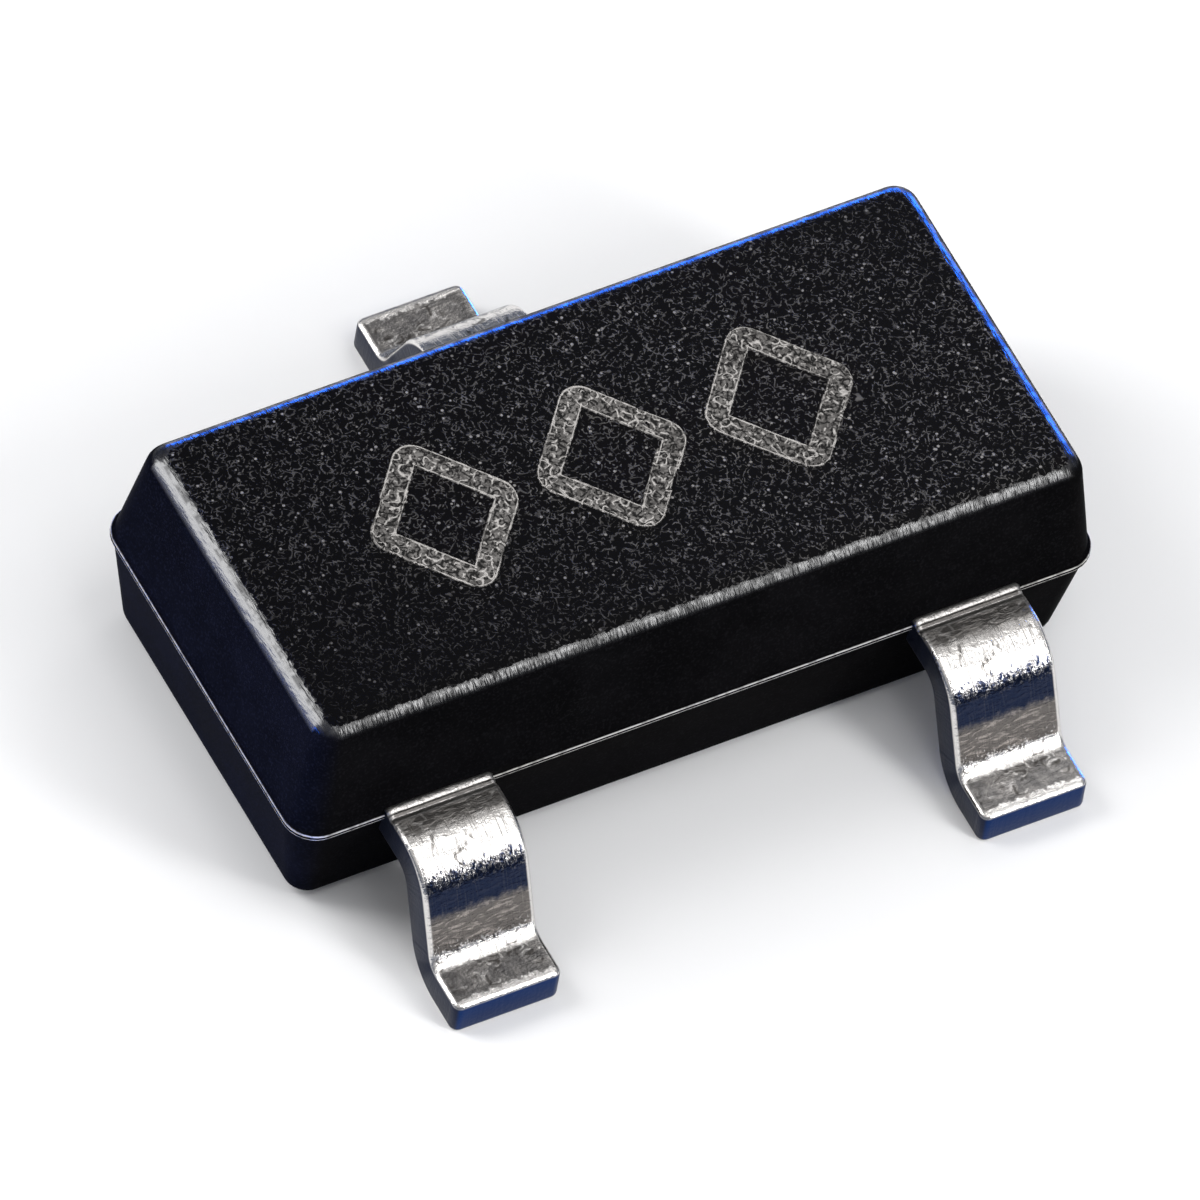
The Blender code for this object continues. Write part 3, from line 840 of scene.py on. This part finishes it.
def tin_material(spec):
    """Bright tin: scratches along and across, painted shade on the shoulder, lower leg and foot, a painted
    dark reflection as a band on the leg, and bare sides left by shearing, in painted shade, with ends painted
    blue.
    """
    material, shader, place = new_material("Tin plating")
    flat = out_of(place.tree, "ShaderNodeUVMap", uv_map="Flat blank")
    across, along, _ = parts(flat)
    runs = [length for length, _ in lead_form(spec)]
    tip = sum(runs)
    leg_start = runs[0] + runs[1]
    leg_end = leg_start + runs[2]
    before_groove, *_, past_groove = groove_lines(spec)
    corner = spec.tip_radius

    wander = (noise(flat, 0.035, 4.0, 0.65) - 0.5) * 0.07 + along
    spikes = noise(turned(flat, 0.0, (1.0, 0.55, 1.0)), 0.013, 3.0, 0.65, 0.8)
    spiky = (spikes - 0.5) * 0.15 + wander
    below_bend = ramp_up(spiky, leg_start - 0.060, leg_start - 0.030)
    # Painted reflection: a dark band below the upper bend stands for a dark reflection; pale blobs break up
    # its start.
    band = below_bend * ramp_down(wander, leg_start + 0.055, leg_start + 0.095)
    # Painted shade: the leg down to the lower bend is darkened as a dark reflection.
    rubbed = below_bend * ramp_down(spiky, leg_end + 0.002, leg_end + 0.012)
    on_foot = ramp_up(wander, leg_end + 0.10, leg_end + 0.14)
    on_shoulder = ramp_down(wander, runs[0] - 0.01, runs[0] + 0.03)
    on_flat = on_shoulder * ramp_up(along, past_groove, past_groove + 0.008)
    at_tip = ramp_up(wander, tip - 0.040, tip - 0.028)
    past_tip = along - (tip - corner)
    off_corner = out_of_corner(spec, across, past_tip)
    # The sides and ends are bare metal, darkened and tinted navy as painted shade.
    sheared = ramp_up(off_corner, corner - 0.004, corner - 0.0005)
    # The ends are painted blue light.
    sawn = ramp_up(past_tip, corner - 0.010, corner - 0.002)

    dull = noise(place, 0.09, 3.0)
    wrinkles = noise(turned(flat, 6.0, (0.28, 1.0, 1.0)), 0.016, 3.0, 0.6, 1.2)
    mottled = ramp_up(noise(flat, 0.085, 4.0, 0.55, 1.4), 0.34, 0.68)
    grouped = ramp_up(noise(flat, 0.14), 0.46, 0.58)
    band_start = ramp_down(wander, leg_start - 0.035, leg_start - 0.005)
    blobs = ramp_up(noise(flat, 0.012, 2.0, distortion=1.0), 0.50, 0.60) * band_start * band
    dark_curls = curled_lines(flat, 0.062, 41.0, width=1.2, gap=0.44, apart=1) * grouped
    dark_curls *= 1 - largest(on_shoulder, rubbed)
    pale_curls = curled_lines(flat, 0.075, 47.0, width=0.9, gap=0.46, apart=1) * grouped
    pale_curls *= largest(on_flat, on_foot * 0.6)
    # Painted shade in the near flank of the coined groove, between the bead and the groove.
    painted_groove_shade = ramp_up(along, before_groove - 0.008, before_groove - 0.005)
    painted_groove_shade *= ramp_down(along, before_groove + 0.006, before_groove + 0.009)
    marks = largest(
        scratches(flat, 4.0, 0.006, 0.56, 0.72),
        scratches(flat, 84.0, 0.005, 0.60, 0.74),
        scratches(flat, -38.0, 0.004, 0.64, 0.76),
    )
    marks *= largest(on_foot, band) * -0.75 + 1.0
    rounding = largest(ramp_up(off_corner, corner - 0.020, corner - 0.013), at_tip)

    # Painted shade: the shoulder is darkened as a dark reflection, with paler wrinkles.
    shoulder = mix_colours(ramp_up(wrinkles, 0.46, 0.62), spec.shoulder_dark, spec.shoulder_pale)
    # Painted shade: the foot is darkened as a dark reflection, in mottles.
    foot = mix_colours(mottled, spec.foot_dark, spec.foot_pale)
    # Painted shade on the lower leg, with paler streaks.
    streaked = mix_colours(ramp_up(wrinkles, 0.48, 0.66), spec.rubbed, spec.streaked)
    base = mix_colours(dull * 0.5, spec.tin, spec.dulled)
    layers = (
        (on_flat * 0.85, shoulder),
        (on_foot * 0.92, foot),
        (rubbed * 0.90, streaked),
        (band * 0.96, spec.stained),
        (blobs * 0.75, spec.smeared),
        (dark_curls * 0.85, spec.curled),
        (pale_curls * 0.70, spec.tin),
        (painted_groove_shade * 0.88, spec.creased),
        (marks * 0.35, spec.scratched),
        (rounding * 0.85, spec.tin),
        (sheared, mix_colours(sawn, spec.sheared, spec.sawn)),
    )
    for mask, colour_there in layers:
        base = mix_colours(mask, base, colour_there)
    rough = dull * 0.10 + 0.13 + on_shoulder * 0.14 + marks * 0.16 + sheared * 0.20
    relief = noise(place, 0.010, 3.0) - marks * 0.5 + wrinkles * 1.6
    wire_shader(shader, base, rough, bump(relief, 0.0009), {"Metallic": 1.0})
    return material


class TRANSISTOR_OT_leads(bpy.types.Operator):
    """Stamp, coin and bend the three leads, and give them their plating"""

    bl_idname = "transistor.leads"
    bl_label = "Leads"

    def execute(self, context):
        spec = context.scene.leads
        inner = context.scene.inner
        tin = tin_material(spec)
        length = sum(run for run, _ in lead_form(spec))
        pitch = self.front_pitch()
        rows = (
            ("base", post_outline(spec, inner, length, -1), -pitch / 2, 0.0),
            ("emitter", post_outline(spec, inner, length, 1), pitch / 2, 0.0),
            ("collector", paddle_outline(spec, inner, length), 0.0, math.pi),
        )
        for seed, (name, outline, x, turn) in enumerate(rows):
            skin = lead_skin(name + "_plated_lead", spec, inner, outline, length)
            place = Matrix.Translation((x, 0.0, 0.0)) @ Matrix.Rotation(turn, 4, "Z")
            skin.data.transform(place)
            waves = {"Wave length": spec.wave_length, "Wave height": spec.wave_height}
            lead = shaped_by_nodes(skin, plated_skin_tree(tin), {**waves, "Seed": float(seed)})
            finish_piece(lead, "tin_plating", name + "_lead", rims=("right_rim",))
        return {"FINISHED"}

    def front_pitch(self):
        """Distance between the two front leads, from where their feet's middles lie in the frame."""
        places = [mount["pos_m"][0] for mount in frame["record"]["mounts"] if mount["name"].endswith("_foot")]
        return (max(places) - min(places)) / MM


# Laser mark


def diamond(spec, centre_x):
    """The middle of one mark's stroke as a closed list of points, a diamond with rounded corners."""
    straight = spec.width / math.sqrt(8) - spec.corner
    tall = spec.height / spec.width
    points = []
    for quarter, (sx, sy) in enumerate(((1, 1), (-1, 1), (-1, -1), (1, -1))):
        for step in range(CORNER_POINTS + 1):
            angle = math.pi / 2 * (quarter + step / CORNER_POINTS)
            x = sx * straight + spec.corner * math.cos(angle)
            y = sy * straight + spec.corner * math.sin(angle)
            turned_x, turned_y = (x - y) / math.sqrt(2), (x + y) / math.sqrt(2)
            points.append(Vector((centre_x + turned_x, turned_y * tall, MOULDING_HIGH.z)))
    return points + points[:1]


def step_lengths(points):
    return [(after - before).length for before, after in zip(points, points[1:])]


def part_of_path(points, start, end):
    """The stretch of a closed path between two distances along it, which may run past its start."""
    steps = step_lengths(points)
    total = sum(steps)
    stretch = []
    for i in range(PASS_POINTS + 1):
        left = (start + (end - start) * i / PASS_POINTS) % total
        for before, after, step in zip(points, points[1:], steps):
            if left <= step:
                stretch.append(before.lerp(after, left / step))
                break
            left -= step
    return stretch


def laser_passes(spec):
    """The passes of the laser, each a short open line, in diamonds along the top."""
    draw = random.Random(5)
    first = spec.from_middle - spec.pitch * (spec.marks - 1) / 2
    passes = []
    for mark in range(spec.marks):
        points = diamond(spec, first + mark * spec.pitch)
        total = sum(step_lengths(points))
        number = round(total / spec.pass_step)
        for i in range(number):
            start = total * (i + draw.uniform(-0.15, 0.15)) / number
            end = start + total / number + spec.stroke * 0.75
            shift = Vector((draw.uniform(-1, 1), draw.uniform(-1, 1), 0.0)) * spec.wander
            lift = Vector((0.0, 0.0, draw.uniform(-0.15, 0.15) * spec.rim_height))
            passes.append([point + shift + lift for point in part_of_path(points, start, end)])
    return passes


def path_object(name, paths):
    curve = bpy.data.curves.new(name, "CURVE")
    curve.dimensions = "3D"
    for points in paths:
        spline = curve.splines.new("POLY")
        spline.points.add(len(points) - 1)
        for point, place in zip(spline.points, points):
            point.co = (*place, 1.0)
    return new_object(name, curve)


def dish_section():
    """A closed section one unit to each side, drawn upside down: a shallow dish between two swollen rims."""
    across = [i / DISH_POINTS for i in range(-DISH_POINTS, DISH_POINTS + 1)]
    points = []
    for x in across:
        rim = math.exp(-(((abs(x) - 0.90) / 0.07) ** 2))
        edge = 0.0 if abs(x) > 0.99 else 0.35
        points.append(Vector((x, -max(edge, rim), 0.0)))
    points += [Vector((1.0, 1.0, 0.0)), Vector((-1.0, 1.0, 0.0))]
    return points


def burnt_stroke_tree(material, section):
    """Sweeps a dish along each pass, rounds its two ends and roughens it."""
    tree, given = new_shape_tree("Burnt stroke", "Stroke", "Rim height", "Cell", "Seed")
    half = given["Stroke"] / 2
    spacing = {"Curve": given["Geometry"], "Length": given["Cell"]}
    fine = out_of(tree, "GeometryNodeResampleCurve", spacing, mode="LENGTH")
    along = out_of(tree, "GeometryNodeSplineParameter", output="Length")
    length = out_of(tree, "GeometryNodeSplineLength", output="Length")
    to_end = calculate("MINIMUM", along, length - along)
    missing = largest(1 - to_end / half, 0.0)
    radius = calculate("SQRT", 1.02 - missing * missing)
    slim = out_of(tree, "GeometryNodeSetCurveRadius", {"Curve": fine, "Radius": radius})
    upright = out_of(tree, "GeometryNodeSetCurveNormal", {"Curve": slim}, mode="Z_UP")
    shape = out_of(tree, "GeometryNodeObjectInfo", {"Object": section}, "Geometry")
    size = out_of(tree, "ShaderNodeCombineXYZ", {"X": half, "Y": given["Rim height"], "Z": 1.0})
    sized = out_of(tree, "GeometryNodeTransform", {"Geometry": shape, "Scale": size})
    sweep = {"Curve": upright, "Profile Curve": sized, "Fill Caps": True}
    swept = out_of(tree, "GeometryNodeCurveToMesh", sweep)
    curls = noise(out_of(tree, "GeometryNodeInputPosition"), 0.02, distortion=0.8, seed=given["Seed"])
    lift = out_of(tree, "ShaderNodeCombineXYZ", {"Z": (curls - 0.5) * given["Rim height"] * 1.6})
    return close_shape_tree(moved_by(swept, lift), material)


def burnt_material(spec):
    """Burnt epoxy: pale curled crests and rims over a dull ground."""
    material, shader, place = new_material("Burnt epoxy")
    above_top = parts(place)[2] - MOULDING_HIGH.z
    curl = noise(place, 0.024, 2.0, 0.6, 1.6)
    crevices = largest(
        curled_lines(place, 0.036, 21.0, width=1.5, gap=0.42),
        curled_lines(place, 0.032, 27.0, "DISTANCE_TO_EDGE", 0.0, width=1.5, gap=0.42),
    )
    crests = curled_lines(place, 0.040, 31.0, centre=0.40, gap=0.45)
    rim = ramp_up(above_top, spec.rim_height * 0.62, spec.rim_height * 0.98)
    ground = mix_colours(ramp_up(curl, 0.44, 0.58) * 0.17 + 0.10, spec.dull, spec.pale)
    ground = mix_colours(crevices * 0.97, ground, spec.crevice)
    base = mix_colours(largest(crests * 0.80, rim * 0.82), ground, spec.pale)
    relief = curl + crests * 0.4 - crevices * 0.5
    wire_shader(shader, base, 0.62, bump(relief, 0.004), {"Specular IOR Level": 0.15})
    return material


class TRANSISTOR_OT_mark(bpy.types.Operator):
    """Burn a row of plain diamonds into the top"""

    bl_idname = "transistor.mark"
    bl_label = "Laser mark"

    def execute(self, context):
        spec = context.scene.mark
        path = path_object("burnt_mark", laser_passes(spec))
        section = path_object("dish_section", [dish_section()])
        section.data.splines[0].use_cyclic_u = True
        tree = burnt_stroke_tree(burnt_material(spec), section)
        sizes = {"Stroke": spec.stroke, "Rim height": spec.rim_height, "Cell": spec.cell}
        mark = shaped_by_nodes(path, tree, {**sizes, "Seed": 11.0})
        bpy.data.objects.remove(section)
        finish_piece(mark, "black_epoxy")
        return {"FINISHED"}


# Sealed pieces


# Each finish: its name, its pieces, two colours, size of its patches, roughness, metallic, depth of its bump
SEALED_FINISHES = (
    ("Silicon", ("silicon_die",), (0.10, 0.11, 0.16), (0.20, 0.20, 0.24), 0.04, 0.18, 0.4, 0.0002),
    ("Silver adhesive", ("die_attach",), (0.62, 0.62, 0.60), (0.38, 0.38, 0.37), 0.02, 0.5, 0.7, 0.001),
    ("Gold wire", BOND_WIRES, (0.90, 0.66, 0.26), (0.80, 0.55, 0.20), 0.02, 0.18, 1.0, 0.0002),
)


def plain_material(name, first, second, size, rough, metallic, depth):
    """A finish with slow changes of colour and a fine bump."""
    material, shader, place = new_material(name)
    patch = noise(place, size, 3.0)
    fine = bump(noise(place, size / 6), depth)
    wire_shader(shader, mix_colours(patch, first, second), patch * 0.15 + rough, fine, {"Metallic": metallic})
    return material


class TRANSISTOR_OT_sealed_pieces(bpy.types.Operator):
    """Give the die, its adhesive and the bond wires their finishes"""

    bl_idname = "transistor.sealed_pieces"
    bl_label = "Sealed pieces"

    def execute(self, context):
        for name, pieces, *finish in SEALED_FINISHES:
            material = plain_material(name, *finish)
            for slot in (slot for piece in pieces for slot in frame["nodes"][piece].material_slots):
                slot.material = material
        return {"FINISHED"}


# Studio


def direction(azimuth, elevation):
    """The way to a thing seen from the part; azimuth 0 is the front and 90 the right."""
    flat = math.cos(elevation)
    return Vector((math.sin(azimuth) * flat, -math.cos(azimuth) * flat, math.sin(elevation)))


def look_matrix(right, up, back, place):
    matrix = Matrix((right, up, back)).transposed().to_4x4()
    matrix.translation = place
    return matrix


def add_camera(spec, target):
    back = direction(spec.azimuth, spec.elevation)
    level = Vector((math.cos(spec.azimuth), math.sin(spec.azimuth), 0.0))
    rise = back.cross(level)
    turn = spec.roll
    right = level * math.cos(turn) + rise * math.sin(turn)
    up = rise * math.cos(turn) - level * math.sin(turn)
    place = target + back * spec.distance + right * spec.aim_right + up * spec.aim_up
    camera = bpy.data.cameras.new("Camera")
    camera.sensor_width = 36.0
    camera.lens = camera.sensor_width * spec.distance / spec.picture_width
    camera.clip_start = spec.distance * MM / 10
    camera.clip_end = 1.0
    obj = new_object("camera", camera)
    obj.matrix_world = look_matrix(right, up, back, place * MM)
    bpy.context.scene.camera = obj


def add_softbox(name, target, placing, width, height, radiance, aside=NOT_ASIDE, tint=WHITE):
    """A rectangular lamp that faces the part, or a place aside of it."""
    azimuth, elevation, distance = placing
    back = direction(math.radians(azimuth), math.radians(elevation))
    right = Vector((0.0, 0.0, 1.0)).cross(back).normalized()
    light = bpy.data.lights.new(name, "AREA")
    light.shape = "RECTANGLE"
    light.size = width * MM
    light.size_y = height * MM
    light.energy = radiance * math.pi * light.size * light.size_y
    light.color = tint
    obj = new_object(name, light)
    place = target + Vector(aside) + back * distance
    obj.matrix_world = look_matrix(right, back.cross(right), back, place * MM)
    return obj


def floor_material(spec):
    material, shader, place = new_material("Pale floor")
    grain = noise(place, 0.4)
    darker = [part * 0.985 for part in spec.floor]
    base = mix_colours(grain, spec.floor, darker)
    wire_shader(shader, base, 0.85, bump(grain, 0.001), {"Specular IOR Level": 0.1})
    return material


def add_floor(spec):
    bm = bmesh.new()
    bmesh.ops.create_circle(bm, cap_ends=True, segments=96, radius=spec.floor_radius * MM)
    floor = object_from_bmesh("floor", bm)
    floor.data.materials.append(floor_material(spec))


def add_world():
    """Soft light from above that falls off to a dim cool horizon."""
    world = bpy.data.worlds.new("Studio")
    bpy.context.scene.world = world
    world.use_nodes = True
    tree = world.node_tree
    tree.nodes.clear()
    height = parts(out_of(tree, "ShaderNodeTexCoord", output="Generated"))[2]
    bands = add_node(tree, "ShaderNodeValToRGB", {"Fac": height})
    elements = bands.color_ramp.elements
    for index, (position, shade) in enumerate(SKY):
        element = elements[index] if index < 2 else elements.new(position)
        element.position = position
        element.color = (*shade, 1.0)
    background = out_of(tree, "ShaderNodeBackground", {"Color": Value(bands.outputs[0]), "Strength": 1.0})
    add_node(tree, "ShaderNodeOutputWorld", {"Surface": background})


def lit_by(name):
    """The collection of the pieces that a rim lamp lights, so that the floor stays white."""
    label = "Lit by " + name
    return bpy.data.collections.get(label) or bpy.data.collections.new(label)


class TRANSISTOR_OT_studio(bpy.types.Operator):
    """Set up the camera, the pale floor, the softboxes and the world"""

    bl_idname = "transistor.studio"
    bl_label = "Studio"

    def execute(self, context):
        spec = context.scene.studio
        context.scene.view_settings.view_transform = "Standard"
        target = Vector((0.0, 0.0, parting_height(context.scene.leads)))
        add_camera(spec, target)
        add_floor(spec)
        add_world()
        for name, box in SOFTBOXES.items():
            add_softbox(name, target, *box)
        for name, box in RIM_LAMPS.items():
            lamp = add_softbox(name, target, *box, tint=BLUE)
            lamp.light_linking.receiver_collection = lit_by(name)
        return {"FINISHED"}


class TRANSISTOR_PT_panel(bpy.types.Panel):
    """Lists the pieces of the transistor"""

    bl_idname = "TRANSISTOR_PT_panel"
    bl_label = "Surface-mount transistor"
    bl_space_type = "VIEW_3D"
    bl_region_type = "UI"
    bl_category = "Transistor"

    def draw(self, context):
        for operator in OPERATORS:
            self.layout.operator(operator.bl_idname)
        for name in SETTINGS:
            box = self.layout.box()
            box.label(text=name.title())
            group = getattr(context.scene, name)
            for key in group.bl_rna.properties.keys():
                if key not in ("rna_type", "name"):
                    box.prop(group, key)


OPERATORS = (
    TRANSISTOR_OT_studio,
    TRANSISTOR_OT_moulding,
    TRANSISTOR_OT_leads,
    TRANSISTOR_OT_mark,
    TRANSISTOR_OT_sealed_pieces,
)
CLASSES = (*SETTINGS.values(), *OPERATORS, TRANSISTOR_PT_panel)


def register():
    for item in CLASSES:
        bpy.utils.register_class(item)
    for name, group in SETTINGS.items():
        setattr(bpy.types.Scene, name, bpy.props.PointerProperty(type=group))


def unregister():
    for name in SETTINGS:
        delattr(bpy.types.Scene, name)
    for item in reversed(CLASSES):
        bpy.utils.unregister_class(item)


def main():
    register()
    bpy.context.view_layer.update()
    bpy.ops.transistor.studio()
    bpy.ops.transistor.moulding()
    bpy.ops.transistor.leads()
    bpy.ops.transistor.mark()
    bpy.ops.transistor.sealed_pieces()


if __name__ == "__main__":
    main()
